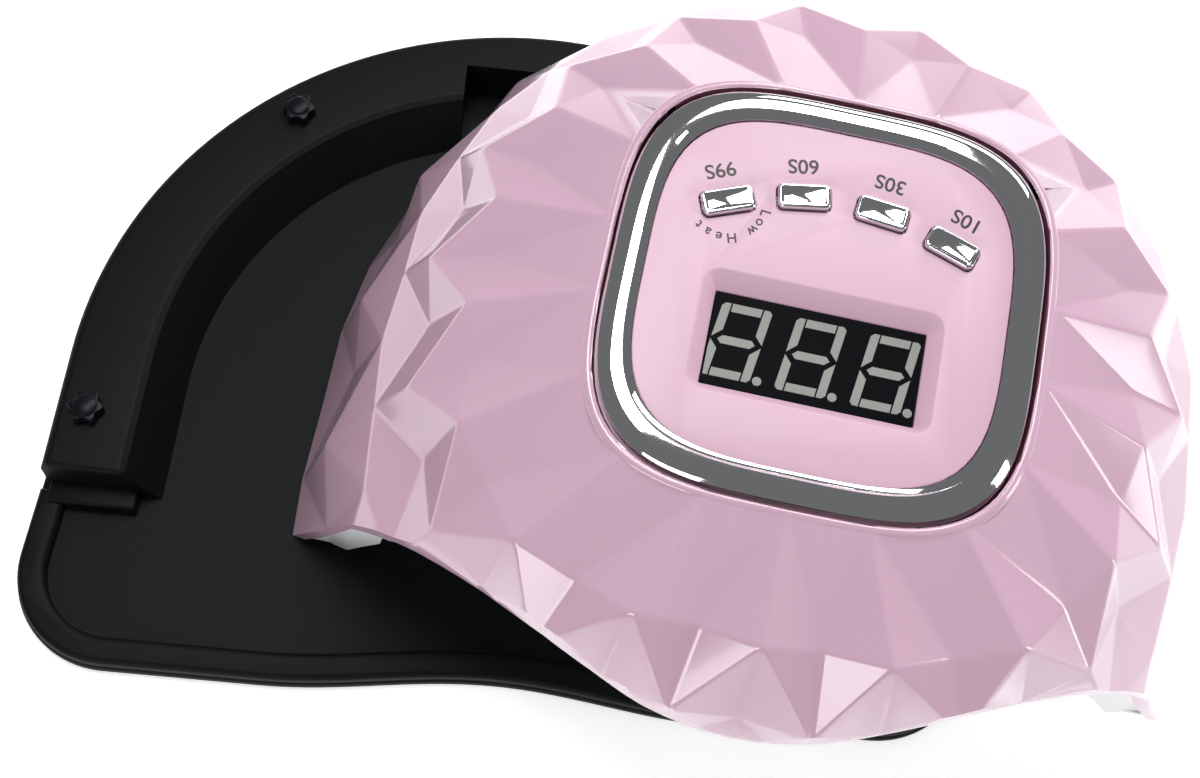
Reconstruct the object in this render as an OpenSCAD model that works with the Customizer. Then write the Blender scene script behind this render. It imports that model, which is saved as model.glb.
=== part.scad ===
// Full-hand LED nail lamp resting on its loose base tray.
// The lamp is drawn standing flat with its own base at z = 0, then leaned onto the tray.

/* [Lamp shell] */
// Half width of the lamp across its base (mm)
base_half = 113.5; // [108:0.5:118]
// Height of the control panel face above the lamp's base (mm)
panel_h = 89; // [85:0.5:94]
// Shell wall thickness (mm)
wall = 2.6; // [2:0.1:3]
// How far the shell reaches forward over the hand (mm)
brow = 91; // [86:0.5:94]
// How strongly the facets stand out, 1 is the normal relief
relief = 1; // [0.6:0.05:1.3]
// Height of the arch cut between the two front feet (mm)
arch_h = 56; // [46:0.5:60]
// Lean of the lamp on the tray's rear ledge (degrees)
lean = 6.1; // [5.9:0.1:6.4]

/* [Control panel] */
// Half width of the seat round the chrome ring (mm)
seat_half = 48.5; // [47:0.25:50]
// Radial width of the chrome ring (mm)
ring_w = 6.8; // [5:0.2:8]
// Button length (mm)
button_l = 11.5; // [9:0.25:13]
// Button width (mm)
button_w = 5.6; // [4.5:0.1:6.2]
// Height of a button above the panel (mm)
button_proud = 1.5; // [1:0.1:2.5]
// Display face width (mm)
display_w = 46; // [42:0.5:48]
// Display face depth (mm)
display_d = 21; // [18:0.5:22]

/* [Tray] */
// Tray half width, also the radius of its round rear (mm)
tray_r = 116; // [112:0.5:120]
// Height of the raised ledge above the table (mm)
ledge_h = 18; // [16:0.25:18]
// Width of the top of the ledge (mm)
ledge_w = 20; // [16:0.5:22]
// Turn of the tray against the lamp (degrees)
tray_turn = 7; // [0:0.5:9]

/* [Electrics] */
// Radius of a UV LED (mm)
led_r = 2.5; // [1.5:0.1:2.6]
// Radius of the socket for the supply plug (mm)
jack_bore_r = 2.75; // [2.6:0.05:3]
// Radius of the centre pin in the supply socket (mm)
jack_pin_r = 1.05; // [0.9:0.05:1.25]

/* [Hidden] */
$fn = 64;
// centre of the whole object on the table
shift = [32.7, -15.5, 0];
lamp_at = [0, 9.7, 3.7];
foot_y = 56.3;
tray_at = [-63, -5, 0];
front_y = 74;
corner_r = 25;
floor_z = 3.4;
foot_pad = 1;
ledge_in = tray_r - ledge_w;
ledge_end = 28;
splay = 1.9;
panel_t = 2.4;
panel_half = seat_half - 2.2 - ring_w;
hole_half = seat_half - 1.1;
board_z = 76.5;
board_t = 1.6;
board_top = board_z + board_t;
cavity_half = 97;
cavity_top = 60;
liner_t = 1.6;
lid_z = cavity_top + liner_t;
top_led_z = cavity_top + 2;
side_tilt = atan(4 / 30);
jack_z = 11;
jack_y = 97;
screw_at = [[-94.5, 43.5], [94.5, 43.5], [-50, 91], [50, 91]];
boss_at = [[-30, -29], [30, -29], [-30, 29], [30, 29]];
pin_at = [[-67.8, 80.8], [67.8, 80.8], [-107.3, -12.8], [107.3, -12.8]];
display_y = -12.8;
button_at = [[-24.6, 17.6, 22], [-8.4, 22.2, 10], [9, 22.2, -6], [25.1, 17.6, -19]];
segment_w = 1.9;
digit_w = 11;
digit_d = 17;
digit_pitch = 16.3;
digit_slant = tan(8);

// facet rings, from the seat down: peak half width, valley half width, squareness of the
// front half and of the rear half, peak height, valley height, rise towards the front and
// how late it comes, extra reach at the front
facet_rings = [
  [74.8, 73.5, 2.9, 2.15, 73.5, 70.5, 10, 2.4, 0],
  [86.5, 84.6, 2.6, 2.0, 61.8, 59.4, 5.5, 1.5, 3],
  [95.6, 94.2, 3.2, 2.0, 48.5, 50.0, 3, 1, 0],
  [106.5, 103.8, 3.8, 2.0, 27.0, 24.0, 0, 1, 0]
];

function rounded(a, n, t) = a / pow(pow(abs(cos(t)), n) + pow(abs(sin(t)), n), 1 / n);
function forward(t) = (1 - sin(t)) / 2;
function polar(r, t, z) = [r * cos(t), r * sin(t), z];
function seat_point(k, inset) =
  k % 2 == 0
    ? polar(rounded(seat_half - inset, 3.6, 10 * k - 90), 10 * k - 90, panel_h - inset)
    : (seat_point(k - 1, inset) + seat_point(k + 1, inset)) / 2;
// peaks of the first and third rings sit on the even positions, of the others on the odd ones
function is_peak(level, k) = (k + level) % 2 == 0;
function facet_point(level, k, inset, amount) =
  let (
    ring = facet_rings[level],
    t = 10 * k - 90,
    mix = is_peak(level, k) ? amount : 0,
    a = ring[1] + mix * (ring[0] - ring[1]) - inset,
    z = ring[5] + mix * (ring[4] - ring[5]),
    lift = ring[6] * pow(forward(t), ring[7]),
    n = sin(t) < 0 ? ring[2] : ring[3]
  )
  polar(rounded(a, n, t), t, z + lift - 0.8 * inset) - [0, max(0, -sin(t)) * ring[8], 0];
function base_point(k, inset) =
  let (t = 10 * k - 90)
  polar(rounded(base_half - inset, sin(t) < 0 ? 4.5 : 1.83, t), t, inset > 0 ? -1 : 0);

module faceted_body(inset, amount) {
  rings = [
    [for (k = [0:35]) seat_point(k, inset)],
    for (level = [0:3]) [for (k = [0:35]) facet_point(level, k, inset, amount)],
    [for (k = [0:35]) base_point(k, inset)]
  ];
  points = [for (ring = rings) for (p = ring) p];
  sides = [
    for (l = [0:4]) for (k = [0:35])
      let (a = 36 * l + k, b = 36 * l + (k + 1) % 36)
      each k % 2 == 0
        ? [[a, b, b + 36], [a, b + 36, a + 36]]
        : [[a, b, a + 36], [b, b + 36, a + 36]]
  ];
  lid = [for (k = [35:-1:0]) k];
  under = [for (k = [0:35]) 180 + k];
  polyhedron(points, concat(sides, [lid, under]));
}

// solid with one squareness whose outline changes with height; profile rows are [half width, z]
module loft(profile, n_front, n_rear, steps) {
  rows = len(profile);
  turn = 360 / steps;
  points = [
    for (row = profile) for (k = [0:steps - 1])
      let (t = k * turn)
      polar(rounded(row[0], sin(t) < 0 ? n_front : n_rear, t), t, row[1])
  ];
  sides = [
    for (l = [0:rows - 2]) for (k = [0:steps - 1])
      let (a = l * steps + k, b = l * steps + (k + 1) % steps)
      [a, a + steps, b + steps, b]
  ];
  under = [for (k = [0:steps - 1]) k];
  lid = [for (k = [steps - 1:-1:0]) (rows - 1) * steps + k];
  polyhedron(points, concat(sides, [under, lid]));
}

// ring of one squareness; profile rows are [half width, z], up the outside and down the inside
module loft_ring(profile, n, steps) {
  rows = len(profile);
  points = [
    for (row = profile) for (k = [0:steps - 1])
      polar(rounded(row[0], n, k * 360 / steps), k * 360 / steps, row[1])
  ];
  polyhedron(points, [
    for (l = [0:rows - 1]) for (k = [0:steps - 1])
      let (a = l * steps, b = (l + 1) % rows * steps, next = (k + 1) % steps)
      [a + k, b + k, b + next, a + next]
  ]);
}

module rounded_square(half, n) {
  polygon([for (k = [0:95]) let (t = k * 3.75) rounded(half, n, t) * [cos(t), sin(t)]]);
}

module arch_plan(half, height, power) {
  polygon(concat(
    [for (k = [-24:24])
      let (x = half * sin(k * 3.75))
      [x, height * (1 - pow(abs(x) / half, power))]],
    [[half, -30], [-half, -30]]
  ));
}

// everything in front of the swept front edge of the shell
module brow_cut(back) {
  translate([0, 0, -10]) linear_extrude(height = 120) polygon(concat(
    [for (k = [-30:30]) let (x = 5 * k) [x, back - 53.3 - (brow - 53.3) * exp(-x * x / 4900)]],
    [[150, -190], [-150, -190]]
  ));
}

// opening for the hand, cut from the front back to the plane y = depth
module arch(half, height, depth) {
  translate([0, depth, 0]) rotate([90, 0, 0]) linear_extrude(height = 100)
    arch_plan(half, height, 6.5);
}

module pill(l, w, r) {
  offset(r = r) square([l - 2 * r, w - 2 * r], center = true);
}

module lamp_pose() {
  translate(shift + lamp_at)
    rotate([lean, 0, 0]) translate([0, 0, foot_y * tan(lean)]) children();
}

module tray_pose() {
  translate(shift + tray_at) rotate([0, 0, tray_turn]) children();
}

// ---- tray ----
module tray_plan(inset) {
  difference() {
    hull() {
      circle(r = tray_r - inset, $fn = 120);
      for (s = [-1, 1]) translate([s * (tray_r + 4 - corner_r), -front_y + corner_r])
        circle(r = corner_r - inset);
    }
    polygon(concat(
      [[-300, -front_y + inset]],
      [for (k = [-15:15]) [4 * k, -front_y + inset + 2.5 * (1 + cos(12 * k))]],
      [[300, -front_y + inset], [300, -200], [-300, -200]]
    ));
  }
}

ledge_profile = [
  [ledge_in - 9, 2], [ledge_in - 9, floor_z], [ledge_in - 8, floor_z + 1],
  [ledge_in - 1, ledge_h - 1], [ledge_in, ledge_h], [tray_r - 3.6, ledge_h],
  [tray_r - 1.6, ledge_h - 1], [tray_r - 0.6, ledge_h - 3], [tray_r - 0.6, 2]
];

// a closed profile of [radius, height] points carried along the tray's edge; each station is
// [straight run along the side, angle round the rear]
module along_edge(profile, stations) {
  n = len(profile);
  points = [
    for (s = stations) for (p = profile)
      polar(p[0], s[1], p[1]) + s[0] * [sin(s[1]), -cos(s[1]), 0]
  ];
  sides = [
    for (i = [0:len(stations) - 2]) for (j = [0:n - 1])
      let (a = i * n + j, b = i * n + (j + 1) % n)
      [a, a + n, b + n, b]
  ];
  first = [for (j = [0:n - 1]) j];
  last = [for (j = [n - 1:-1:0]) (len(stations) - 1) * n + j];
  polyhedron(points, concat(sides, [first, last]));
}

// raised lip round the front corners and along the front edge
module front_lip(z, h, outer, inner) {
  translate([0, 0, z]) linear_extrude(height = h) intersection() {
    difference() {
      tray_plan(outer);
      tray_plan(inner);
    }
    translate([-150, -120]) square([300, 90 - ledge_end + 24]);
  }
}

module base_tray() {
  color([0.17, 0.18, 0.18]) tray_pose() difference() {
    union() {
      translate([0, 0, foot_pad]) linear_extrude(height = 1.4) tray_plan(0);
      translate([0, 0, foot_pad + 1.4]) linear_extrude(height = floor_z - foot_pad - 1.4)
        tray_plan(1);
      along_edge(ledge_profile, concat(
        [[ledge_end + 4, splay]],
        [for (k = [0:60]) [0, splay + k * (90 - splay) / 30]],
        [[-ledge_end - 4, 180 - splay]]
      ));
      for (s = [-1, 1]) translate([s * (tray_r - 11.5) - 11, -ledge_end - 6, 2])
        cube([22, 10, 5.5]);
      front_lip(2, 3.6, 0.4, 7.4);
      front_lip(5.4, 1.2, 1.4, 6.2);
    }
    // pocket in the middle of the rear ledge
    translate([-24, 60, floor_z]) cube([48, 42.3, ledge_h]);
    for (p = pin_at) translate([p[0], p[1], ledge_h - 2.6]) cylinder(r = 2.55, h = 10);
  }
}

module star(r) {
  polygon([for (k = [0:47]) let (t = k * 7.5) (r + 0.55 * cos(6 * t)) * [cos(t), sin(t)]]);
}

module locating_pins() {
  color([0.1, 0.1, 0.11]) tray_pose() for (p = pin_at) translate([p[0], p[1], 0]) {
    translate([0, 0, ledge_h - 2.6]) cylinder(r = 2.5, h = 3);
    translate([0, 0, ledge_h]) linear_extrude(height = 3.4) star(3.9);
    translate([0, 0, ledge_h + 3.4]) cylinder(r1 = 3.2, r2 = 2.4, h = 0.6);
  }
}

module tray_feet() {
  color([0.12, 0.12, 0.12]) tray_pose()
    for (p = [[-86, -52], [86, -52], [-52, 70], [52, 70]]) translate([p[0], p[1], 0])
      cylinder(r = 6, h = foot_pad);
}

// ---- lamp body ----
module jack_hole(r) {
  translate([0, jack_y, jack_z]) rotate([-90, 0, 0]) cylinder(r = r, h = 40);
}

// posts inside the shell that take the base screws
module screw_posts() {
  intersection() {
    for (p = screw_at) translate([p[0], p[1], 4.05]) cylinder(r = 3.4, h = 22);
    faceted_body(0.8, 0);
  }
}

module top_shell() {
  color([0.87, 0.74, 0.81]) lamp_pose() difference() {
    union() {
      difference() {
        faceted_body(0, relief);
        faceted_body(wall, 0);
      }
      screw_posts();
    }
    for (p = screw_at) translate([p[0], p[1], 3]) cylinder(r = 1.5, h = 10);
    translate([0, 0, panel_h - 10]) linear_extrude(height = 20) rounded_square(hole_half, 3.6);
    brow_cut(0);
    arch(base_half - 2, arch_h, -foot_y);
    jack_hole(5);
  }
}

module display_recess() {
  rim = panel_h - 3;
  hull() {
    translate([0, display_y + 1.1, panel_h + 0.6]) linear_extrude(height = 0.1)
      pill(display_w + 8, display_d + 8, 4.5, $fn = 24);
    translate([0, display_y, rim]) linear_extrude(height = 0.1)
      pill(display_w + 0.4, display_d + 0.4, 0.6, $fn = 24);
  }
  translate([0, display_y, panel_h - 10])
    cube([display_w + 0.4, display_d + 0.4, 20], center = true);
}

module control_panel() {
  color([0.88, 0.75, 0.82]) lamp_pose() difference() {
    union() {
      translate([0, 0, panel_h - panel_t]) linear_extrude(height = panel_t)
        rounded_square(panel_half, 3.6);
      translate([0, 0, panel_h - panel_t - 2]) linear_extrude(height = 2.2)
        rounded_square(hole_half - 0.3, 3.6);
      translate([-28.5, -29.5, panel_h - 5]) cube([57, 33, 4]);
      for (p = boss_at) translate([p[0], p[1], board_top])
        cylinder(r = 2.8, h = panel_h - 3 - board_top);
    }
    for (p = boss_at) translate([p[0], p[1], board_top - 1]) cylinder(r = 1.3, h = 6);
    display_recess();
    for (b = button_at) translate([b[0], b[1], panel_h - 10]) rotate([0, 0, b[2]])
      linear_extrude(height = 20) pill(button_l + 0.7, button_w + 0.7, 1.5);
    // room for the button flanges behind the panel
    for (b = button_at) translate([b[0], b[1], panel_h - 10]) rotate([0, 0, b[2]])
      linear_extrude(height = 10 - panel_t + 0.3) pill(button_l + 3.4, button_w + 3.4, 1.5);
  }
}

module chrome_ring() {
  outer = seat_half - 2.2;
  inner = panel_half + 0.15;
  low = panel_h - panel_t + 0.25;
  color([0.8, 0.8, 0.82]) lamp_pose() loft_ring([
    [outer, low], [outer, panel_h + 0.2], [outer - 1.3, panel_h + 1.5],
    [outer - 3, panel_h + 1.9], [inner + 1.8, panel_h + 1.9], [inner + 1.4, panel_h + 1.3],
    [inner, panel_h + 0.5], [inner, low]
  ], 3.6, 96);
}

// ---- buttons ----
module button(i) {
  b = button_at[i];
  color([0.8, 0.8, 0.82]) lamp_pose() translate([b[0], b[1], 0]) rotate([0, 0, b[2]]) {
    translate([0, 0, panel_h - 3.6]) linear_extrude(height = 3.2 + button_proud)
      pill(button_l, button_w, 1.2);
    translate([0, 0, panel_h - 0.4 + button_proud]) linear_extrude(height = 0.4)
      pill(button_l - 0.8, button_w - 0.8, 0.9);
    translate([0, 0, panel_h - 3.6]) linear_extrude(height = 1)
      pill(button_l + 2.4, button_w + 2.4, 1.2);
  }
}

module plunger(i) {
  b = button_at[i];
  color([0.2, 0.2, 0.22]) lamp_pose() translate([b[0], b[1], board_top + 2.2])
    cylinder(r = 1.7, h = panel_h - 3.6 - board_top - 2.2);
}

module tact_switches() {
  color([0.25, 0.25, 0.27]) lamp_pose()
    for (b = button_at) translate([b[0], b[1], board_top]) difference() {
      translate([-3, -3, 0]) cube([6, 6, 3.5]);
      translate([0, 0, 1.4]) cylinder(r = 1.75, h = 5);
    }
}

module button_99s() { button(0); }
module button_60s() { button(1); }
module button_30s() { button(2); }
module button_10s() { button(3); }
module plunger_99s() { plunger(0); }
module plunger_60s() { plunger(1); }
module plunger_30s() { plunger(2); }
module plunger_10s() { plunger(3); }

// ---- display ----
module bar(l) {
  w = segment_w / 2;
  polygon([[0, 0], [w, w], [l - w, w], [l, 0], [l - w, -w], [w, -w]]);
}

// upright of a digit, pointed beside the middle bar and rounded off at the outer corner
module upright(d) {
  w = segment_w / 2;
  polygon([[w, 0.3], [w, d + w - 0.7], [w - 0.7, d + w], [-w, d + w], [-w, 2 * w + 0.3]]);
}

module digit() {
  w = digit_w - segment_w;
  d = (digit_d - segment_w) / 2;
  multmatrix([[1, digit_slant, 0, 0], [0, 1, 0, 0]]) {
    for (row = [-1, 1]) translate([0, row * d])
      square([w - segment_w - 0.7, segment_w], center = true);
    translate([-w / 2 + 0.45, 0]) bar(w - 0.9);
    for (side = [-1, 1]) for (row = [-1, 1])
      translate([side * w / 2, 0]) scale([side, row]) upright(d);
  }
  translate([w / 2 + 1.3, -d - 0.2]) circle(r = 1, $fn = 32);
}

module digits() {
  intersection() {
    for (k = [-1, 0, 1]) translate([k * digit_pitch - 0.6, display_y]) digit();
    translate([0, display_y]) square([display_w - 0.6, display_d - 0.6], center = true);
  }
}

module display_module() {
  color([0.04, 0.04, 0.05]) lamp_pose() difference() {
    translate([-display_w / 2, display_y - display_d / 2, board_top])
      cube([display_w, display_d, panel_h - 3.1 - board_top]);
    translate([0, 0, panel_h - 3.6]) linear_extrude(height = 2) digits();
  }
}

module display_segments() {
  color([0.72, 0.73, 0.71]) lamp_pose()
    translate([0, 0, panel_h - 3.6]) linear_extrude(height = 0.5) digits();
}

// ---- control board ----
module control_board() {
  color([0.1, 0.35, 0.2]) lamp_pose() difference() {
    translate([-34, -33, board_z]) cube([68, 66, board_t]);
    for (p = boss_at) translate([p[0], p[1], board_z - 1]) cylinder(r = 1.6, h = 4);
  }
}

module board_chips() {
  color([0.08, 0.08, 0.09]) lamp_pose() {
    translate([-8, -4, board_z - 2]) cube([14, 10, 2]);
    translate([12, -12, board_z - 1.8]) cube([6, 5, 1.8]);
    translate([-24, 8, board_z - 2.4]) cube([7, 6.5, 2.4]);
    translate([14, 12, board_z - 3]) cube([8, 8, 3]);
  }
}

module capacitors() {
  color([0.15, 0.15, 0.35]) lamp_pose()
    for (x = [-26, -18]) translate([x, -20, board_z - 7]) cylinder(r = 3, h = 7);
}

module board_screws() {
  color([0.6, 0.6, 0.62]) lamp_pose()
    for (p = boss_at) translate([p[0], p[1], 0]) {
      translate([0, 0, board_z - 1.6]) cylinder(r = 2.8, h = 1.6);
      translate([0, 0, board_z - 0.1]) cylinder(r = 1.25, h = board_t + 4);
    }
}

// ---- reflector and base ----
module cavity(grow, top) {
  loft([[cavity_half + grow, -1], [cavity_half - 4 + grow, 30], [cavity_half - 13 + grow, 48],
    [cavity_half - 32 + grow, top]], 3.2, 2, 72);
}

// the opening widens a little from the dome towards the front
module opening_flare(grow) {
  translate([0, -50, 0]) rotate([90, 0, 0])
    linear_extrude(height = 60, scale = 1.19) arch_plan(96 + grow, cavity_top - 0.2 + grow, 3);
}

module led_spot(i, side) {
  y = -24 + 10 * i;
  translate([side * (cavity_half - 2.6), y, 20]) rotate([0, side * (90 - side_tilt), 0]) children();
}

module back_spot(i) {
  x = -12 + 12 * i;
  translate([x, cavity_half - 2.6, 22]) rotate([side_tilt - 90, 0, 0]) children();
}

module top_spots() {
  for (x = [-37.5:25:37.5]) for (y = [-28, 0, 28]) translate([x, y, cavity_top]) children();
}

module led_holes() {
  top_spots() translate([0, 0, -2]) cylinder(r = led_r + 0.3, h = 8);
  for (i = [0:4]) for (s = [-1, 1])
    led_spot(i, s) translate([0, 0, -8]) cylinder(r = led_r + 0.3, h = 13.5);
  for (i = [0:2]) back_spot(i) translate([0, 0, -8]) cylinder(r = led_r + 0.3, h = 13.5);
}

module inner_liner() {
  color([0.95, 0.95, 0.94]) lamp_pose() difference() {
    union() {
      intersection() {
        union() {
          cavity(liner_t, lid_z);
          opening_flare(liner_t);
          translate([-150, -foot_y - 1, 0]) cube([300, 3, 90]);
        }
        faceted_body(wall + 0.4, 0);
      }
      // lip in front of the shell's cut edge at each foot
      intersection() {
        faceted_body(0.8, 0);
        arch(base_half - 2.4, arch_h - 0.4, -foot_y - 0.05);
        translate([-150, -foot_y - 1, 0.4]) cube([300, 3, 90]);
      }
    }
    cavity(0, cavity_top);
    opening_flare(0);
    brow_cut(1.5);
    arch(base_half - 2, arch_h, -foot_y - 1);
    translate([-150, -foot_y - 0.05, -5]) cube([300, 230, 9.05]);
    translate([-150, -130, -5]) cube([300, 300, 5.4]);
    led_holes();
    for (s = [-1, 1]) translate([s * 82, -40, 20]) rotate([0, s * 90, 0])
      cylinder(r = 2.8, h = 24);
  }
}

module base_ring() {
  color([0.93, 0.93, 0.92]) lamp_pose() difference() {
    intersection() {
      translate([-150, -foot_y, 1.6]) cube([300, 200, 2.4]);
      faceted_body(wall + 0.5, 0);
    }
    translate([0, 0, -1]) linear_extrude(height = 6) union() {
      circle(r = cavity_half + 0.3, $fn = 180);
      translate([-cavity_half - 0.3, -70]) square([2 * (cavity_half + 0.3), 70]);
    }
    for (p = pin_at) translate([p[0], p[1], 0]) cylinder(r = 5, h = 6);
    for (p = screw_at) translate([p[0], p[1], 0]) cylinder(r = 1.7, h = 6);
  }
}

module shell_screws() {
  color([0.3, 0.3, 0.32]) lamp_pose() for (p = screw_at) translate([p[0], p[1], 0]) {
    translate([0, 0, 0.3]) cylinder(r = 2.9, h = 1.3);
    translate([0, 0, 1.5]) cylinder(r = 1.45, h = 10);
  }
}

// ---- light sources ----
module led() {
  translate([0, 0, -1.5]) cylinder(r = led_r, h = 3.5);
  translate([0, 0, -1.5]) sphere(r = led_r);
}

module led_board_top() {
  color([0.92, 0.93, 0.9]) lamp_pose() translate([-46, -36, top_led_z]) cube([92, 72, 1.6]);
}

module side_board(side) {
  lamp_pose() translate([side * (cavity_half - 2.6), 0, 20])
    rotate([0, side * (90 - side_tilt), 0]) translate([-6, -28, 2]) cube([12, 48, 1.2]);
}

module led_board_left() { color([0.92, 0.93, 0.9]) side_board(-1); }
module led_board_right() { color([0.92, 0.93, 0.9]) side_board(1); }

module led_board_back() {
  color([0.92, 0.93, 0.9]) lamp_pose() translate([0, cavity_half - 2.6, 22])
    rotate([side_tilt - 90, 0, 0]) translate([-16, -6, 2]) cube([32, 12, 1.2]);
}

module leds_top() {
  color([0.75, 0.7, 0.95]) lamp_pose() top_spots() led();
}

module leds_left() {
  color([0.75, 0.7, 0.95]) lamp_pose() for (i = [0:4]) led_spot(i, -1) led();
}

module leds_right() {
  color([0.75, 0.7, 0.95]) lamp_pose() for (i = [0:4]) led_spot(i, 1) led();
}

module leds_back() {
  color([0.75, 0.7, 0.95]) lamp_pose() for (i = [0:2]) back_spot(i) led();
}

module eye(side) {
  lamp_pose() translate([side * 93.5, -40, 20]) rotate([0, side * 90, 0]) {
    cylinder(r = 2.5, h = 5.5);
    translate([0, 0, 4.5]) cylinder(r = 3, h = 1);
  }
}

module hand_emitter() { color([0.6, 0.65, 0.9]) eye(-1); }
module hand_receiver() { color([0.1, 0.1, 0.14]) eye(1); }

// ---- supply socket ----
module dc_jack() {
  color([0.08, 0.08, 0.09]) lamp_pose() difference() {
    union() {
      translate([-5, jack_y + 1.2, jack_z - 5.5]) cube([10, 4.3, 10.1]);
      translate([0, jack_y + 5.4, jack_z]) rotate([-90, 0, 0]) cylinder(r = 4.7, h = 7.2);
    }
    translate([0, jack_y + 5, jack_z]) rotate([-90, 0, 0]) cylinder(r = jack_bore_r, h = 20);
  }
}

module jack_pin() {
  color([0.85, 0.7, 0.4]) lamp_pose() translate([0, jack_y + 5, jack_z])
    rotate([-90, 0, 0]) cylinder(r = jack_pin_r, h = 7);
}

base_tray();
locating_pins();
tray_feet();
top_shell();
control_panel();
chrome_ring();
button_99s();
button_60s();
button_30s();
button_10s();
plunger_99s();
plunger_60s();
plunger_30s();
plunger_10s();
display_module();
display_segments();
control_board();
tact_switches();
board_chips();
capacitors();
board_screws();
inner_liner();
base_ring();
shell_screws();
led_board_top();
led_board_left();
led_board_right();
led_board_back();
leds_top();
leds_left();
leds_right();
leds_back();
hand_emitter();
hand_receiver();
dc_jack();
jack_pin();
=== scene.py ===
# Nail lamp with a faceted pink shell, lying on its loose black base tray
import math

import bmesh
import bpy
from mathutils import Matrix, Vector


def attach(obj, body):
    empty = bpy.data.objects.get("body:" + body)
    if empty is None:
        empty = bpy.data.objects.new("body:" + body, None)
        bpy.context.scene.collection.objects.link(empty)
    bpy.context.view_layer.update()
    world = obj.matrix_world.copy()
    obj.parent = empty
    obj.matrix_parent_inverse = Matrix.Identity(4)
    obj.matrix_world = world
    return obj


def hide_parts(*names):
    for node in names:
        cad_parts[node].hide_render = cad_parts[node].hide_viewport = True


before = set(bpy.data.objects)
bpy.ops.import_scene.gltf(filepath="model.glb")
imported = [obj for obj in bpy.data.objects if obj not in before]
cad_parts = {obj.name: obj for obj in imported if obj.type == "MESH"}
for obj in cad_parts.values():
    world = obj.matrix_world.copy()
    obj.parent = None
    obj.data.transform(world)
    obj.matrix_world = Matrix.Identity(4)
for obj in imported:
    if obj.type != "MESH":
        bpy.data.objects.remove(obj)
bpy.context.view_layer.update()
print("frame loaded:", len(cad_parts), "nodes")

mm = 0.001

# where the lamp and the tray lie on the table, in mm and degrees
layout = {
    "shift": (32.7, -15.5, 0.0),
    "lampAt": (0.0, 9.7, 3.7),
    "lean": 6.1,
    "footY": 56.3,
    "trayAt": (-63.0, -5.0, 0.0),
    "trayTurn": 7.0,
}


def lampPlace():
    base = (Vector(layout["shift"]) + Vector(layout["lampAt"])) * mm
    lean = math.radians(layout["lean"])
    lift = Vector((0, 0, layout["footY"] * math.tan(lean) * mm))
    return Matrix.Translation(base) @ Matrix.Rotation(lean, 4, "X") @ Matrix.Translation(lift)


def trayPlace():
    base = (Vector(layout["shift"]) + Vector(layout["trayAt"])) * mm
    return Matrix.Translation(base) @ Matrix.Rotation(math.radians(layout["trayTurn"]), 4, "Z")


onLamp = lampPlace()
onTray = trayPlace()

# camera and light first
camera = {"place": (-0.00805, -0.19339, 0.41679), "turn": (24.155, -4.626, 11.127), "lens": 50.91}


def makeCamera():
    data = bpy.data.cameras.new("camera")
    data.lens = camera["lens"]
    data.sensor_width = 36
    data.clip_start = 0.01
    data.clip_end = 20
    cam = bpy.data.objects.new("camera", data)
    cam.location = camera["place"]
    cam.rotation_euler = [math.radians(a) for a in camera["turn"]]
    bpy.context.scene.collection.objects.link(cam)
    bpy.context.scene.camera = cam


# lamps: place and target in metres, size in metres, power in watts
lights = {
    "keySoftbox": {"at": (-0.16, 0.14, 1.03), "to": (0.0, 0.0, 0.05), "size": (0.46, 0.34),
        "power": 4.8},
    "overheadStrip": {"at": (0.12, 0.64, 0.98), "to": (0.0, 0.0, 0.05), "size": (0.34, 0.42),
        "power": 4.2},
    "rearSoftbox": {"at": (0.4, 1.0, 0.5), "to": (0.0, 0.0, 0.05), "size": (0.9, 0.25), "power": 3.6},
    "frontSoftbox": {"at": (-0.3, -1.05, 0.5), "to": (0.0, 0.0, 0.03), "size": (0.5, 0.3), "power": 2.8},
    "sideStrip": {"at": (1.05, -0.1, 0.35), "to": (0.0, 0.0, 0.05), "size": (0.2, 0.6), "power": 2.6},
}


def makeLights():
    for name, spec in lights.items():
        data = bpy.data.lights.new(name, "AREA")
        data.shape = "RECTANGLE"
        data.size, data.size_y = spec["size"]
        data.energy = spec["power"]
        lamp = bpy.data.objects.new(name, data)
        lamp.location = spec["at"]
        aim = Vector(spec["to"]) - Vector(spec["at"])
        lamp.rotation_mode = "QUATERNION"
        lamp.rotation_quaternion = aim.to_track_quat("-Z", "Y")
        bpy.context.scene.collection.objects.link(lamp)
    world = bpy.data.worlds.new("studio")
    world.use_nodes = True
    world.node_tree.nodes["Background"].inputs["Color"].default_value = (0.96, 0.97, 1.0, 1)
    world.node_tree.nodes["Background"].inputs["Strength"].default_value = 0.16
    bpy.context.scene.world = world
    bpy.context.scene.view_settings.view_transform = "Standard"


makeCamera()
makeLights()
print("camera and lights set")


# ---- materials ----
def newGroup(name, sockets):
    group = bpy.data.node_groups.new(name, "ShaderNodeTree")
    for socketName, inOut, kind, value in sockets:
        socket = group.interface.new_socket(name=socketName, in_out=inOut, socket_type=kind)
        if value is not None:
            socket.default_value = value
    return group


def addNode(tree, kind, **values):
    node = tree.nodes.new(kind)
    for key, value in values.items():
        setattr(node, key, value)
    return node


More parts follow.
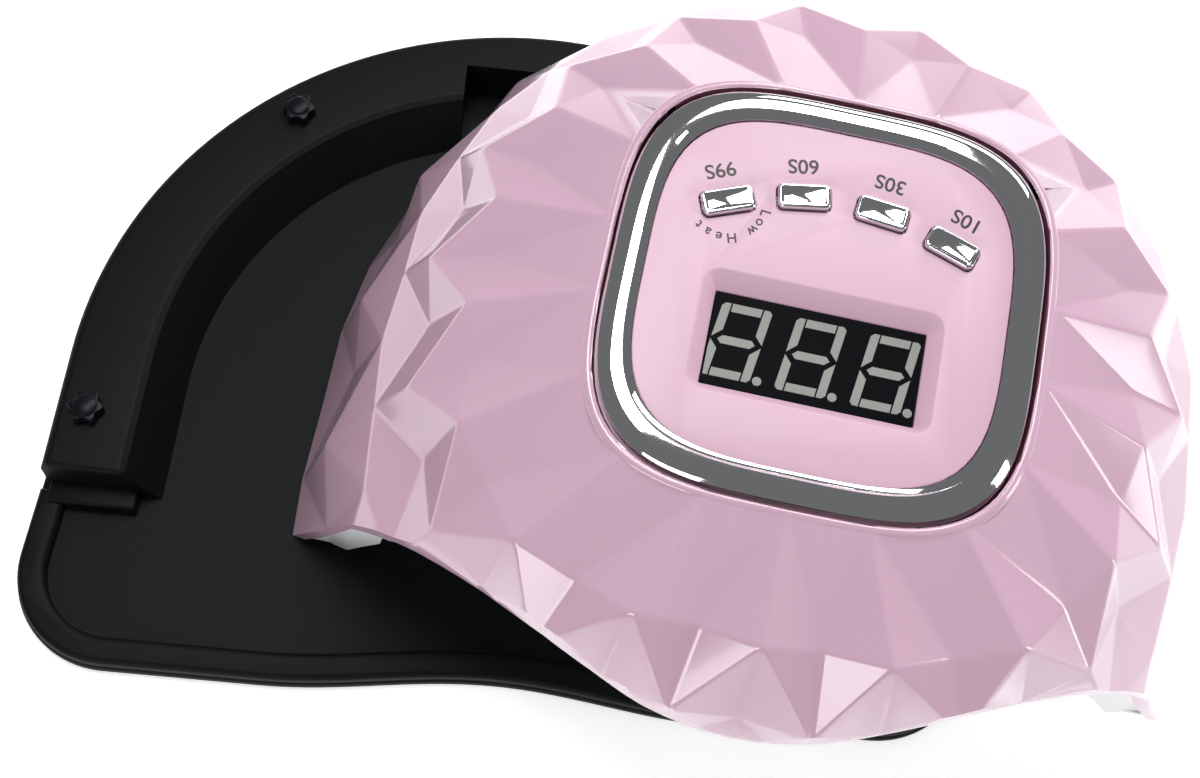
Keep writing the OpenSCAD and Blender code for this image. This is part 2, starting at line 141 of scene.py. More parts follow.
def makeToneDrift():
    # slow change of tone over a moulded surface; the mask also spreads the roughness
    group = newGroup("toneDrift", [
        ("Colour", "INPUT", "NodeSocketColor", (0.5, 0.5, 0.5, 1)),
        ("Drift", "INPUT", "NodeSocketFloat", 0.05),
        ("Scale", "INPUT", "NodeSocketFloat", 12.0),
        ("Colour", "OUTPUT", "NodeSocketColor", None),
        ("Mask", "OUTPUT", "NodeSocketFloat", None),
    ])
    source = addNode(group, "NodeGroupInput")
    out = addNode(group, "NodeGroupOutput")
    coords = addNode(group, "ShaderNodeTexCoord")
    noise = addNode(group, "ShaderNodeTexNoise")
    noise.inputs["Detail"].default_value = 3
    shade = addNode(group, "ShaderNodeMapRange")
    low = addNode(group, "ShaderNodeMath", operation="SUBTRACT")
    low.inputs[0].default_value = 1
    high = addNode(group, "ShaderNodeMath", operation="ADD")
    high.inputs[0].default_value = 1
    tint = addNode(group, "ShaderNodeVectorMath", operation="SCALE")
    group.links.new(coords.outputs["Object"], noise.inputs["Vector"])
    group.links.new(source.outputs["Scale"], noise.inputs["Scale"])
    group.links.new(noise.outputs["Fac"], shade.inputs["Value"])
    group.links.new(source.outputs["Drift"], low.inputs[1])
    group.links.new(source.outputs["Drift"], high.inputs[1])
    group.links.new(low.outputs[0], shade.inputs["To Min"])
    group.links.new(high.outputs[0], shade.inputs["To Max"])
    group.links.new(source.outputs["Colour"], tint.inputs[0])
    group.links.new(shade.outputs["Result"], tint.inputs["Scale"])
    group.links.new(tint.outputs[0], out.inputs["Colour"])
    group.links.new(noise.outputs["Fac"], out.inputs["Mask"])
    return group


def makeMouldGrain():
    # fine height pattern of a spark-eroded or polished mould
    group = newGroup("mouldGrain", [
        ("Scale", "INPUT", "NodeSocketFloat", 900.0),
        ("Ripple", "INPUT", "NodeSocketFloat", 0.0),
        ("Height", "OUTPUT", "NodeSocketFloat", None),
    ])
    source = addNode(group, "NodeGroupInput")
    out = addNode(group, "NodeGroupOutput")
    coords = addNode(group, "ShaderNodeTexCoord")
    grain = addNode(group, "ShaderNodeTexNoise")
    grain.inputs["Detail"].default_value = 4
    slow = addNode(group, "ShaderNodeTexNoise")
    slow.inputs["Scale"].default_value = 45
    slow.inputs["Detail"].default_value = 1
    ripple = addNode(group, "ShaderNodeMath", operation="MULTIPLY")
    total = addNode(group, "ShaderNodeMath", operation="ADD")
    group.links.new(coords.outputs["Object"], grain.inputs["Vector"])
    group.links.new(coords.outputs["Object"], slow.inputs["Vector"])
    group.links.new(source.outputs["Scale"], grain.inputs["Scale"])
    group.links.new(slow.outputs["Fac"], ripple.inputs[0])
    group.links.new(source.outputs["Ripple"], ripple.inputs[1])
    group.links.new(grain.outputs["Fac"], total.inputs[0])
    group.links.new(ripple.outputs[0], total.inputs[1])
    group.links.new(total.outputs[0], out.inputs["Height"])
    return group


toneDrift = makeToneDrift()
mouldGrain = makeMouldGrain()

# colour is linear RGB; rough is the middle of the roughness and its spread over the surface
finishes = {
    "shellPink": {"colour": (0.68, 0.44, 0.56), "drift": 0.03, "rough": (0.14, 0.04),
        "grain": (700, 0.02), "ripple": 1, "coat": 0.6},
    "panelPink": {"colour": (0.73, 0.48, 0.59), "drift": 0.02, "rough": (0.36, 0.06),
        "grain": (700, 0.02), "shine": 0.35},
    # painted shade: dark maroon standing in for the shadow in the gap round the ring, put on pink parts
    "gapPaintedShade": {"colour": (0.16, 0.045, 0.07), "drift": 0.05, "rough": (0.5, 0.1), "grain": (700, 0.1)},
    "chromePlate": {"colour": (0.86, 0.87, 0.88), "drift": 0.01, "rough": (0.05, 0.04),
        "grain": (500, 0.004), "metal": 1},
    "trayBlack": {"colour": (0.0045, 0.006, 0.0062), "drift": 0.12, "rough": (0.5, 0.12),
        "grain": (1400, 0.12), "shine": 0.1},
    "pinBlack": {"colour": (0.005, 0.006, 0.009), "drift": 0.1, "rough": (0.35, 0.1),
        "grain": (1200, 0.15), "shine": 0.15},
    "rubber": {"colour": (0.015, 0.015, 0.016), "drift": 0.1, "rough": (0.75, 0.1),
        "grain": (1600, 0.3)},
    "linerWhite": {"colour": (0.82, 0.83, 0.83), "drift": 0.03, "rough": (0.3, 0.1),
        "grain": (800, 0.05)},
    "displayBlack": {"colour": (0.0022, 0.0024, 0.004), "drift": 0.1, "rough": (0.45, 0.06),
        "grain": (900, 0.02), "shine": 0.04},
    "segmentGrey": {"colour": (0.30, 0.31, 0.285), "drift": 0.05, "rough": (0.5, 0.1),
        "grain": (1100, 0.08), "shine": 0.3},
    "inkDark": {"colour": (0.012, 0.006, 0.01), "drift": 0.1, "rough": (0.4, 0.1), "grain": (900, 0.05)},
    "boardGreen": {"colour": (0.02, 0.16, 0.07), "drift": 0.15, "rough": (0.35, 0.1),
        "grain": (600, 0.1)},
    "boardWhite": {"colour": (0.78, 0.80, 0.78), "drift": 0.04, "rough": (0.4, 0.1),
        "grain": (600, 0.1)},
    "chipBlack": {"colour": (0.012, 0.012, 0.014), "drift": 0.1, "rough": (0.5, 0.1),
        "grain": (1500, 0.2)},
    "capacitorBlue": {"colour": (0.02, 0.03, 0.14), "drift": 0.1, "rough": (0.3, 0.1),
        "grain": (500, 0.05)},
    "steel": {"colour": (0.55, 0.55, 0.57), "drift": 0.06, "rough": (0.3, 0.12),
        "grain": (900, 0.08), "metal": 1},
    "brass": {"colour": (0.75, 0.55, 0.25), "drift": 0.05, "rough": (0.25, 0.1),
        "grain": (900, 0.05), "metal": 1},
    "ledLens": {"colour": (0.62, 0.58, 0.85), "drift": 0.04, "rough": (0.12, 0.05),
        "grain": (600, 0.02), "coat": 0.6},
    "lensClear": {"colour": (0.55, 0.62, 0.85), "drift": 0.05, "rough": (0.1, 0.05),
        "grain": (600, 0.02), "coat": 0.6},
    "lensDark": {"colour": (0.02, 0.02, 0.05), "drift": 0.05, "rough": (0.1, 0.05),
        "grain": (600, 0.02), "coat": 0.6},
    "floorPale": {"colour": (0.93, 0.93, 0.935), "drift": 0.004, "rough": (0.6, 0.02),
        "grain": (300, 0.0), "glow": 0.6},
}


def makeMaterial(name):
    spec = finishes[name]
    material = bpy.data.materials.new(name)
    material.use_nodes = True
    tree = material.node_tree
    shader = tree.nodes["Principled BSDF"]
    shader.inputs["Metallic"].default_value = spec.get("metal", 0)
    shader.inputs["Coat Weight"].default_value = spec.get("coat", 0)
    shader.inputs["Coat Roughness"].default_value = 0.06
    shader.inputs["Specular IOR Level"].default_value = spec.get("shine", 0.5)
    shader.inputs["Emission Strength"].default_value = spec.get("glow", 0)
    tone = addNode(tree, "ShaderNodeGroup", node_tree=toneDrift, label="tone drift")
    tone.inputs["Colour"].default_value = (*spec["colour"], 1)
    tone.inputs["Drift"].default_value = spec["drift"]
    tree.links.new(tone.outputs["Colour"], shader.inputs["Base Color"])
    spread = addNode(tree, "ShaderNodeMapRange", label="roughness spread")
    middle, reach = spec["rough"]
    spread.inputs["To Min"].default_value = middle - reach / 2
    spread.inputs["To Max"].default_value = middle + reach / 2
    tree.links.new(tone.outputs["Mask"], spread.inputs["Value"])
    tree.links.new(spread.outputs["Result"], shader.inputs["Roughness"])
    grain = addNode(tree, "ShaderNodeGroup", node_tree=mouldGrain, label="mould grain")
    grain.inputs["Scale"].default_value = spec["grain"][0]
    grain.inputs["Ripple"].default_value = spec.get("ripple", 0)
    bump = addNode(tree, "ShaderNodeBump")
    bump.inputs["Strength"].default_value = spec["grain"][1]
    bump.inputs["Distance"].default_value = 0.0004
    tree.links.new(grain.outputs["Height"], bump.inputs["Height"])
    tree.links.new(bump.outputs["Normal"], shader.inputs["Normal"])
    return material


materials = {name: makeMaterial(name) for name in finishes}
print("materials made:", len(materials))


# ---- helpers for pieces ----
def superCurve(half, power, degrees):
    t = math.radians(degrees)
    size = (abs(math.cos(t)) ** power + abs(math.sin(t)) ** power) ** (1 / power)
    return half / size * math.cos(t), half / size * math.sin(t)


def superSize(x, y, power):
    return (abs(x) ** power + abs(y) ** power) ** (1 / power)


def ringEdges(verts):
    inRing = set(verts)
    return [e for e in set(e for v in verts for e in v.link_edges) if set(e.verts) <= inRing]


def wrapLoops(bm, outlines, closed=False):
    # a plain stack of circles is bridged first, then every circle takes its own outline
    loops = []
    for level, outline in enumerate(outlines):
        lift = Matrix.Translation((0, 0, level * 0.2))
        loops.append(bmesh.ops.create_circle(bm, segments=len(outline), radius=1, matrix=lift)["verts"])
    pairs = list(zip(loops, loops[1:])) + ([(loops[-1], loops[0])] if closed else [])
    for lower, upper in pairs:
        bmesh.ops.bridge_loops(bm, edges=ringEdges(lower) + ringEdges(upper))
    for loop, outline in zip(loops, outlines):
        for vert, point in zip(loop, outline):
            vert.co = point
    return loops


def softenEdges(bm, edges, width, segments):
    bmesh.ops.bevel(bm, geom=edges, offset=width, segments=segments, profile=0.5, affect="EDGES",
                    clamp_overlap=False, material=-1)


def creases(bm, degrees):
    limit = math.radians(degrees)
    return [e for e in bm.edges if len(e.link_faces) == 2 and e.calc_face_angle(0) > limit]


def finishPiece(bm, name, spec, matrix=Matrix()):
    bmesh.ops.remove_doubles(bm, verts=bm.verts, dist=1e-6)
    bmesh.ops.recalc_face_normals(bm, faces=bm.faces)
    mesh = bpy.data.meshes.new(name)
    bm.to_mesh(mesh)
    bm.free()
    mesh.transform(matrix)
    return placeMesh(mesh, name, spec)


def placeMesh(mesh, name, spec):
    piece = bpy.data.objects.new(name, mesh)
    bpy.context.scene.collection.objects.link(piece)
    mesh.shade_smooth()
    mesh.set_sharp_from_angle(angle=math.radians(spec.get("sharp", 40)))
    mesh.materials.append(materials[spec["finish"]])
    if "body" in spec:
        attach(piece, spec["body"])
    if "replaces" in spec:
        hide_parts(*spec["replaces"])
    return piece


def solidFrom(bm, name):
    # a loose helper object for cutting, thrown away afterwards
    mesh = bpy.data.meshes.new(name)
    bmesh.ops.recalc_face_normals(bm, faces=bm.faces)
    bm.to_mesh(mesh)
    bm.free()
    helper = bpy.data.objects.new(name, mesh)
    bpy.context.scene.collection.objects.link(helper)
    return helper


def combine(bm, steps):
    # steps are (operation, bmesh) pairs worked into bm one after another
    base = solidFrom(bm, "base")
    helpers = [solidFrom(other, "cutter") for _, other in steps]
    for (operation, _), helper in zip(steps, helpers):
        modifier = base.modifiers.new("cut", "BOOLEAN")
        modifier.operation = operation
        modifier.solver = "MANIFOLD"
        modifier.object = helper
    graph = bpy.context.evaluated_depsgraph_get()
    result = bmesh.new()
    result.from_mesh(base.evaluated_get(graph).to_mesh())
    for helper in [base, *helpers]:
        bpy.data.objects.remove(helper)
    return result


def outlineSolid(points, low, high):
    # a flat outline in mm drawn up from low to high
    bm = bmesh.new()
    verts = [bm.verts.new((x * mm, y * mm, low * mm)) for x, y in points]
    face = bm.faces.new(verts)
    drawn = bmesh.ops.extrude_face_region(bm, geom=[face])["geom"]
    top = [v for v in drawn if isinstance(v, bmesh.types.BMVert)]
    bmesh.ops.translate(bm, verts=top, vec=(0, 0, (high - low) * mm))
    return bm


def softCopy(node, width, segments, degrees):
    bm = bmesh.new()
    bm.from_mesh(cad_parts[node].data)
    bmesh.ops.remove_doubles(bm, verts=bm.verts, dist=2e-5)
    bmesh.ops.dissolve_limit(bm, angle_limit=math.radians(1), verts=bm.verts, edges=bm.edges)
    softenEdges(bm, creases(bm, degrees), width * mm, segments)
    return bm


# ---- faceted shell ----
shell = {
    "body": "lamp", "slot": "shell_pink", "finish": "shellPink", "replaces": ["top_shell"],
    "seatHalf": 48.5, "seatPower": 3.6, "panelHeight": 89.0, "holeHalf": 47.4,
    "baseHalf": 113.5, "basePowers": (4.5, 1.83), "wall": 2.6,
    "brow": 91.0, "browSide": 53.3, "browSpread": 4900, "archHeight": 56.0, "archPower": 6.5, "footY": 57.7,
    "soft": 0.8, "softSegments": 2,
    "posts": [(-94.5, 43.5), (94.5, 43.5), (-50, 91), (50, 91)], "jackAt": (0, 97, 11), "jackHole": 5.0,
    # rounded lip round the seat, as half width and height
    "lip": [(47.0, 85.5), (49.5, 85.5), (49.5, 88.0), (49.1, 88.8), (48.4, 89.2), (47.8, 89.1), (47.0, 88.2)],
    # peak half width, valley half width, front and rear squareness, peak and valley height,
    # rise at the front and how late it comes, extra reach at the front
    "rings": [
        (75.8, 73.5, 2.9, 2.15, 74.6, 70.5, 10, 2.4, 0),
        (87.6, 84.6, 2.6, 2.0, 62.8, 59.4, 5.5, 1.5, 3),
        (95.6, 94.2, 3.2, 2.0, 48.5, 50.0, 3, 1, 0),
        (106.5, 103.8, 3.8, 2.0, 27.0, 24.0, 0, 1, 0),
    ],
}


def seatPoint(k, inset):
    if k % 2:
        return (seatPoint(k - 1, inset) + seatPoint(k + 1, inset)) / 2
    x, y = superCurve(shell["seatHalf"] - inset, shell["seatPower"], 10 * k - 90)
    return Vector((x, y, shell["panelHeight"] - inset)) * mm


def facetPoint(level, k, inset, relief):
    peak, valley, front, rear, high, low, rise, late, reach = shell["rings"][level]
    angle = 10 * k - 90
    share = relief if (k + level) % 2 == 0 else 0
    ahead = (1 - math.sin(math.radians(angle))) / 2
    power = front if math.sin(math.radians(angle)) < -1e-9 else rear
    x, y = superCurve(valley + share * (peak - valley) - inset, power, angle)
    z = low + share * (high - low) + rise * ahead ** late - 0.8 * inset
    y -= max(0, -math.sin(math.radians(angle))) * reach
    return Vector((x, y, z)) * mm


def basePoint(k, inset):
    angle = 10 * k - 90
    power = shell["basePowers"][0 if math.sin(math.radians(angle)) < -1e-9 else 1]
    x, y = superCurve(shell["baseHalf"] - inset, power, angle)
    return Vector((x, y, -1 if inset else 0)) * mm


def facetedBody(inset, relief):
    bm = bmesh.new()
    outlines = [[seatPoint(k, inset) for k in range(36)]]
    outlines += [[facetPoint(level, k, inset, relief) for k in range(36)] for level in range(4)]
    outlines.append([basePoint(k, inset) for k in range(36)])
    loops = wrapLoops(bm, outlines)
    spot = {vert: (level, k) for level, loop in enumerate(loops) for k, vert in enumerate(loop)}
    for face in list(bm.faces):
        # the diagonal leans the other way in every second sector
        level = min(spot[v][0] for v in face.verts)
        sectors = sorted({spot[v][1] for v in face.verts})
        sector = 35 if sectors == [0, 35] else sectors[0]
        following = (sector + 1) % 36
        start, end = (sector, following) if sector % 2 == 0 else (following, sector)
        bmesh.utils.face_split(face, loops[level][start], loops[level + 1][end])
    for loop in (loops[0], loops[-1]):
        bm.faces.new(loop)
    bmesh.ops.recalc_face_normals(bm, faces=bm.faces)
    return bm


def browCutter(back):
    points = []
    reach = shell["brow"] - shell["browSide"]
    for k in range(-30, 31):
        x = 5 * k
        points.append((x, back - shell["browSide"] - reach * math.exp(-x * x / shell["browSpread"])))
    return outlineSolid(points + [(150, -190), (-150, -190)], -10, 110)


def archCutter(half, height, depth):
    points = []
    for k in range(-24, 25):
        x = half * math.sin(math.radians(k * 3.75))
        points.append((x, height * (1 - (abs(x) / half) ** shell["archPower"])))
    bm = outlineSolid(points + [(half, -30), (-half, -30)], 0, 100)
    bmesh.ops.rotate(bm, verts=bm.verts, matrix=Matrix.Rotation(math.radians(90), 3, "X"))
    bmesh.ops.translate(bm, verts=bm.verts, vec=(0, depth * mm, 0))
    return bm


def superOutline(half, power, count):
    return [superCurve(half, power, 360 * k / count) for k in range(count)]


def circleSolid(x, y, radius, low, high):
    turns = [math.radians(6 * k) for k in range(60)]
    return outlineSolid([(x + radius * math.cos(t), y + radius * math.sin(t)) for t in turns], low, high)


def screwPosts():
    steps = []
    for x, y in shell["posts"]:
        post = combine(circleSolid(x, y, 3.4, 4.05, 26.05), [("INTERSECT", facetedBody(0.8, 0))])
        steps += [("UNION", post), ("DIFFERENCE", circleSolid(x, y, 1.5, 3, 13))]
    return steps


def jackCutter():
    bm = circleSolid(0, 0, shell["jackHole"], 0, 40)
    bmesh.ops.rotate(bm, verts=bm.verts, matrix=Matrix.Rotation(math.radians(-90), 3, "X"))
    bmesh.ops.translate(bm, verts=bm.verts, vec=Vector(shell["jackAt"]) * mm)
    return bm


def makeShell():
    outer = facetedBody(0, 1)
    ridges = [e for e in outer.edges if len(e.link_faces) == 2 and min(v.co.z for v in e.verts) > 1e-4]
    feet = [e for e in outer.edges if min(v.co.z for v in e.verts) < 1e-4 < max(v.co.z for v in e.verts)]
    softenEdges(outer, ridges + feet, shell["soft"] * mm, shell["softSegments"])
    lip = bmesh.new()
    wrapLoops(lip, [[Vector((x, y, height)) * mm for x, y in superOutline(half, shell["seatPower"], 144)]
                    for half, height in shell["lip"]], closed=True)
    bm = combine(outer, [
        ("DIFFERENCE", facetedBody(shell["wall"], 0)),
        ("UNION", lip),
        ("DIFFERENCE", outlineSolid(superOutline(shell["holeHalf"], shell["seatPower"], 144), 79, 99)),
        ("DIFFERENCE", browCutter(0)),
        ("DIFFERENCE", archCutter(shell["baseHalf"] - 2, shell["archHeight"], -shell["footY"])),
        ("DIFFERENCE", jackCutter()),
        *screwPosts(),
    ])
    for face in bm.faces:
        # the cut wall round the ring gets painted shade: dark maroon standing in for the shadow in the gap
        middle = face.calc_center_median() / mm
        if middle.z > 80 and superSize(middle.x, middle.y, shell["seatPower"]) < shell["holeHalf"] + 0.05:
            face.material_index = 1
    piece = finishPiece(bm, "faceted_shell", shell, onLamp)
    piece.data.materials.append(materials["gapPaintedShade"])
    return piece


shellPiece = makeShell()
weighted = shellPiece.modifiers.new("weighted", "WEIGHTED_NORMAL")
weighted.mode = "FACE_AREA"
weighted.weight = 80
weighted.keep_sharp = True
print("shell made:", len(shellPiece.data.polygons), "faces")


# ---- control panel ----
panel = {
    "body": "lamp", "slot": "panel_pink", "finish": "panelPink", "replaces": ["control_panel"],
    "soft": 0.3,
    # half width beyond which the pink panel gets painted shade, the dark colour of the shadow in the gap
    # round the ring
    "shade": 42.0,
}


def makePanel():
    bm = softCopy("control_panel", panel["soft"], 3, 30)
    for face in bm.faces:
        # pink faces out in the gap round the ring take the painted shade
        middle = onLamp.inverted() @ face.calc_center_median() / mm
        if superSize(middle.x, middle.y, shell["seatPower"]) > panel["shade"]:
            face.material_index = 1
    piece = finishPiece(bm, "panel_plate", panel)
    piece.data.materials.append(materials["gapPaintedShade"])
    return piece


# ---- chrome ring ----
ring = {
    "body": "lamp", "slot": "chrome", "finish": "chromePlate", "replaces": ["chrome_ring"],
    "outer": 46.3, "inner": 39.65, "low": 86.85, "power": 3.6, "count": 144, "soft": 0.5,
    # inset from the outer or the inner edge and height above the panel, up the outside
    "outside": [(0, 0.2), (1.3, 1.4), (3.0, 1.85)],
    "inside": [(1.9, 1.85), (1.3, 1.2), (0, 0.5)],
}


def makeRing():
    bm = bmesh.new()
    top = shell["panelHeight"]
    profile = [(ring["outer"], ring["low"])]
    profile += [(ring["outer"] - inset, top + rise) for inset, rise in ring["outside"]]
    profile += [(ring["inner"] + inset, top + rise) for inset, rise in ring["inside"]]
    profile += [(ring["inner"], ring["low"])]
    outlines = [[Vector((x, y, height)) * mm for x, y in superOutline(half, ring["power"], ring["count"])]
                for half, height in profile]
    wrapLoops(bm, outlines, closed=True)
    softenEdges(bm, creases(bm, 12), ring["soft"] * mm, 3)
    return finishPiece(bm, "bezel_ring", ring, onLamp)


# ---- buttons ----
buttons = {
    "slot": "chrome", "finish": "chromePlate", "length": 11.5, "width": 5.6, "proud": 1.5, "corner": 1.3,
    "flange": 1.2, "soft": 0.42, "crown": 0.25,
    # name of the key, place on the panel and turn in degrees
    "keys": [("99s", -24.6, 17.6, 22), ("60s", -8.4, 22.2, 10),
             ("30s", 9.0, 22.2, -6), ("10s", 25.1, 17.6, -19)],
}


def pillOutline(length, width, corner, steps=6):
    points = []
    for quarter, (sx, sy) in enumerate([(1, 1), (-1, 1), (-1, -1), (1, -1)]):
        for k in range(steps + 1):
            t = math.radians(90 * quarter + 90 * k / steps)
            points.append((sx * (length / 2 - corner) + corner * math.cos(t),
                           sy * (width / 2 - corner) + corner * math.sin(t)))
    return points


def topFace(bm):
    return max(bm.faces, key=lambda f: (round(f.calc_center_median().z, 6), f.calc_area()))


def makeButton(name, x, y, turn):
    top = shell["panelHeight"]
    outline = pillOutline(buttons["length"], buttons["width"], buttons["corner"])
    bm = outlineSolid(outline, top - 3.6, top + buttons["proud"])
    softenEdges(bm, [e for e in topFace(bm).edges], buttons["soft"] * mm, 3)
    # shallow dish with a raised border
    dish = topFace(bm)
    bmesh.ops.inset_region(bm, faces=[dish], thickness=0.35 * mm, depth=0)
    bmesh.ops.inset_region(bm, faces=[dish], thickness=0.45 * mm, depth=-0.22 * mm)
    wide = buttons["flange"]
    foot = outlineSolid(pillOutline(buttons["length"] + 2 * wide, buttons["width"] + 2 * wide, 1.6),
                        top - 3.6, top - 2.6)
    bm = combine(bm, [("UNION", foot)])
    bmesh.ops.rotate(bm, verts=bm.verts, matrix=Matrix.Rotation(math.radians(turn), 3, "Z"))
    bmesh.ops.translate(bm, verts=bm.verts, vec=(x * mm, y * mm, 0))
    spec = {**buttons, "body": "key_" + name, "replaces": ["button_" + name], "sharp": 50}
    return finishPiece(bm, "key_cap_" + name, spec, onLamp)


# ---- printed time marks ----
marks = {
    "slot": "display_black", "finish": "inkDark", "body": "lamp",
    "size": 4.8, "away": 7.7, "thick": 0.03,
    "noteSize": 3.2, "noteRadius": 8.5, "note": [("L", -6), ("o", -23), ("w", -40), ("H", -74), ("e", -93),
                                                  ("a", -111), ("t", -128)],
}


def printedMark(text, size, x, y, turn):
    curve = bpy.data.curves.new("mark", "FONT")
    curve.body = text
    curve.size = size * mm
    curve.extrude = marks["thick"] * mm
    curve.offset = 0.013 * size * mm
    curve.align_x = "CENTER"
    curve.align_y = "CENTER"
    holder = bpy.data.objects.new("mark", curve)
    bpy.context.scene.collection.objects.link(holder)
    graph = bpy.context.evaluated_depsgraph_get()
    mesh = bpy.data.meshes.new_from_object(holder.evaluated_get(graph))
    bpy.data.objects.remove(holder)
    place = Matrix.Translation(Vector((x, y, shell["panelHeight"] + 0.01)) * mm)
    mesh.transform(place @ Matrix.Rotation(math.radians(turn), 4, "Z"))
    return mesh


def makeMarks():
    for name, x, y, turn in buttons["keys"]:
        t = math.radians(turn)
        meshes = [printedMark(name.upper(), marks["size"], x - marks["away"] * math.sin(t),
                              y + marks["away"] * math.cos(t), turn + 180)]
        if name == "99s":
            for letter, angle in marks["note"]:
                a = math.radians(angle)
                meshes.append(printedMark(letter, marks["noteSize"], x + marks["noteRadius"] * math.cos(a),
                                          y + marks["noteRadius"] * math.sin(a), angle - 90))
        bm = bmesh.new()
        for mesh in meshes:
            bm.from_mesh(mesh)
        finishPiece(bm, "time_mark_" + name, marks, onLamp)


makePanel()
makeRing()
for key in buttons["keys"]:
    makeButton(*key)
makeMarks()
print("panel, ring, buttons and marks made")


# ---- tray ----
tray = {
    "body": "tray", "slot": "tray_black", "finish": "trayBlack", "replaces": ["base_tray"],
    "radius": 116.0, "cornerAt": (95.0, -49.0), "cornerRadius": 25.0, "tangent": 4.36, "frontY": -74.0,
    "bottom": 1.0, "floor": 3.4, "edge": 1.0,
    "splay": 1.9, "ledgeHeight": 18.0, "ledgeWidth": 20.0, "ledgeRun": 32.0, "ledgeSoft": 1.3,
    "lipOuter": 0.5, "lipInner": 7.4, "lipHeight": 6.6, "lipSoft": 1.6,
}


def trayOutline(inset):
    points = []
    cx, cy = tray["cornerAt"]
    small = tray["cornerRadius"] - inset
    big = tray["radius"] - inset
    tangent = tray["tangent"]
    for k in range(25):
        t = math.radians(-90 + (90 + tangent) * k / 24)
        points.append((cx + small * math.cos(t), cy + small * math.sin(t)))
    for k in range(121):
        t = math.radians(tangent + (180 - 2 * tangent) * k / 120)
        points.append((big * math.cos(t), big * math.sin(t)))
    for k in range(25):
        t = math.radians(180 - tangent + (90 + tangent) * k / 24)
        points.append((-cx + small * math.cos(t), cy + small * math.sin(t)))
    for k in range(-19, 20):
        x = 3 * k
        points.append((x, tray["frontY"] + inset + 2.5 * (1 + math.cos(math.radians(9 * k * 20 / 19)))))
    return points


def outlineRing(outer, inner, low, high):
    return combine(outlineSolid(trayOutline(outer), low, high),
                   [("DIFFERENCE", outlineSolid(trayOutline(inner), low - 1, high + 1))])


def boxSolid(x0, x1, y0, y1, low, high):
    return outlineSolid([(x0, y0), (x1, y0), (x1, y1), (x0, y1)], low, high)


def makeLedge():
    # the cross-section is carried straight along one side, spun round the rear and run out again
    inner = tray["radius"] - tray["ledgeWidth"]
    outer = tray["radius"] - 0.6
    high = tray["ledgeHeight"]
    profile = [(inner - 9, 2), (inner - 9, tray["floor"]), (inner - 1.5, high - 0.4), (inner - 0.6, high),
               (outer - 1.6, high), (outer, high - 2.0), (outer, 2)]
    bm = bmesh.new()
    splay = math.radians(tray["splay"])
    verts = [bm.verts.new((r * mm * math.cos(splay), r * mm * math.sin(splay), z * mm)) for r, z in profile]
    edges = [bm.edges.new((a, b)) for a, b in zip(verts, verts[1:] + verts[:1])]
    run = Vector((math.sin(splay), -math.cos(splay), 0)) * tray["ledgeRun"] * mm
    away = bmesh.ops.extrude_edge_only(bm, edges=edges)["geom"]
    bmesh.ops.translate(bm, verts=[v for v in away if isinstance(v, bmesh.types.BMVert)], vec=run)
    around = bmesh.ops.spin(bm, geom=verts + edges, axis=(0, 0, 1), cent=(0, 0, 0),
                            angle=math.pi - 2 * splay, steps=90)["geom_last"]
    lastEdges = [e for e in around if isinstance(e, bmesh.types.BMEdge)]
    back = bmesh.ops.extrude_edge_only(bm, edges=lastEdges)["geom"]
    bmesh.ops.translate(bm, verts=[v for v in back if isinstance(v, bmesh.types.BMVert)],
                        vec=(-run.x, run.y, 0))
    bmesh.ops.holes_fill(bm, edges=[e for e in bm.edges if e.is_boundary], sides=0)
    bmesh.ops.remove_doubles(bm, verts=bm.verts, dist=1e-6)
    bmesh.ops.recalc_face_normals(bm, faces=bm.faces)
    softenEdges(bm, [e for e in creases(bm, 20) if min(v.co.z for v in e.verts) > 10 * mm],
                tray["ledgeSoft"] * mm, 4)
    return bm


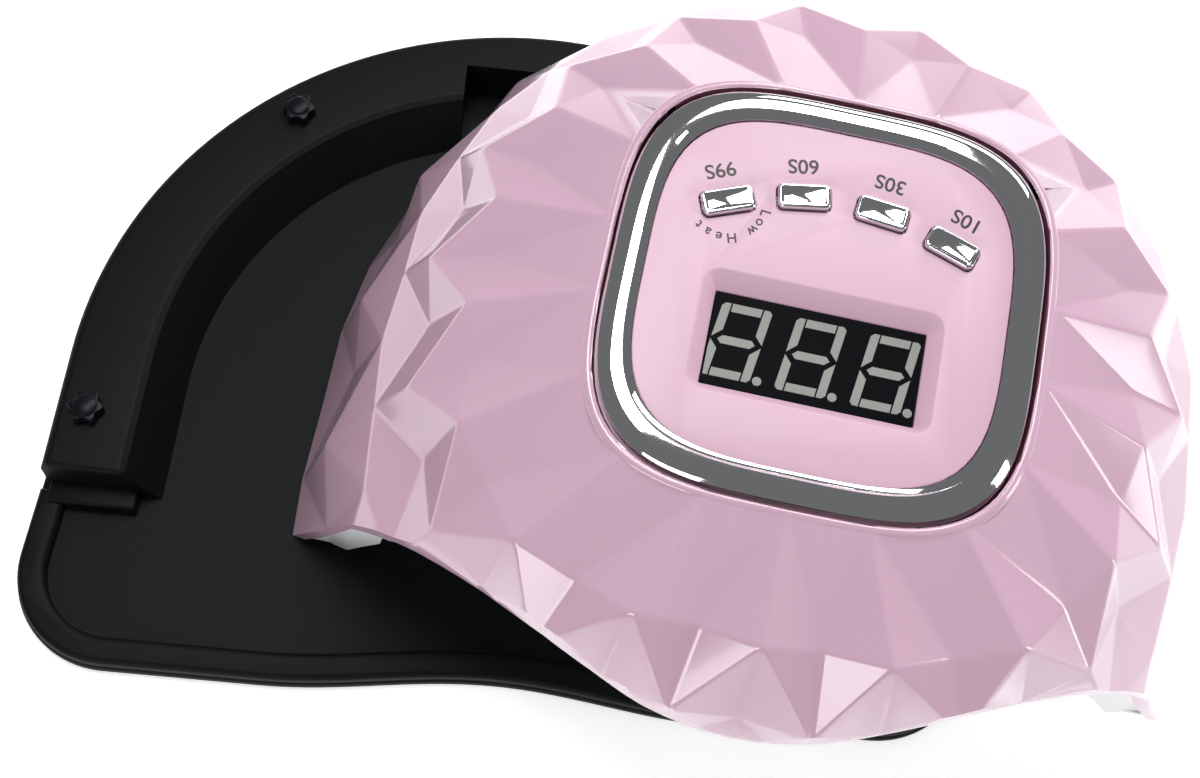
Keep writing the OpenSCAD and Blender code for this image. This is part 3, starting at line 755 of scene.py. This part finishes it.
def makeTray():
    plate = outlineSolid(trayOutline(0), tray["bottom"], tray["floor"])
    softenEdges(plate, [e for e in topFace(plate).edges], tray["edge"] * mm, 3)
    lip = outlineRing(tray["lipOuter"], tray["lipInner"], 2, tray["lipHeight"])
    lip = combine(lip, [("INTERSECT", boxSolid(-150, 150, -120, -30, 0, 20))])
    softenEdges(lip, [e for e in lip.edges if min(v.co.z for v in e.verts) > 5 * mm], tray["lipSoft"] * mm, 5)
    steps = []
    for side in (-1, 1):
        middle = side * (tray["radius"] - 11.5)
        step = boxSolid(middle - 11, middle + 11, -34, -24, 2, 7.5)
        upper = [e for e in creases(step, 60) if max(v.co.z for v in e.verts) > 7 * mm]
        softenEdges(step, upper, 0.7 * mm, 3)
        steps.append(("UNION", step))
    pocket = boxSolid(-24, 24, 60, 102.3, tray["floor"], 30)
    bm = combine(plate, [("UNION", makeLedge()), ("UNION", lip), *steps, ("DIFFERENCE", pocket)])
    return finishPiece(bm, "tray_moulding", tray, onTray)


pins = {"body": "tray", "slot": "pin_black", "finish": "pinBlack", "replaces": ["locating_pins"]}
liner = {"body": "lamp", "slot": "liner_white", "finish": "linerWhite", "replaces": ["inner_liner"]}
makeTray()
finishPiece(softCopy("locating_pins", 0.25, 2, 50), "star_pins", pins)
finishPiece(softCopy("inner_liner", 0.2, 2, 50), "white_liner", liner)
print("tray, pins and liner made")

# nodes that keep their own mesh and get a finish
nodeFinishes = {
    "rubber": ["tray_feet"],
    "displayBlack": ["display_module"],
    "segmentGrey": ["display_segments"],
    "boardGreen": ["control_board"],
    "chipBlack": ["board_chips", "tact_switches", "plunger_99s", "plunger_60s", "plunger_30s",
                  "plunger_10s", "dc_jack"],
    "capacitorBlue": ["capacitors"],
    "steel": ["board_screws", "shell_screws"],
    "linerWhite": ["base_ring"],
    "boardWhite": ["led_board_top", "led_board_left", "led_board_right", "led_board_back"],
    "ledLens": ["leds_top", "leds_left", "leds_right", "leds_back"],
    "lensClear": ["hand_emitter"],
    "lensDark": ["hand_receiver"],
    "brass": ["jack_pin"],
}
for finish, names in nodeFinishes.items():
    for name in names:
        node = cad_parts[name]
        node.data.materials.clear()
        node.data.materials.append(materials[finish])
print("nodes painted")


# ---- floor ----
def makeFloor():
    bm = bmesh.new()
    bmesh.ops.create_grid(bm, x_segments=8, y_segments=8, size=6)
    mesh = bpy.data.meshes.new("floor")
    bm.to_mesh(mesh)
    bm.free()
    floor = bpy.data.objects.new("floor", mesh)
    bpy.context.scene.collection.objects.link(floor)
    mesh.materials.append(materials["floorPale"])


makeFloor()
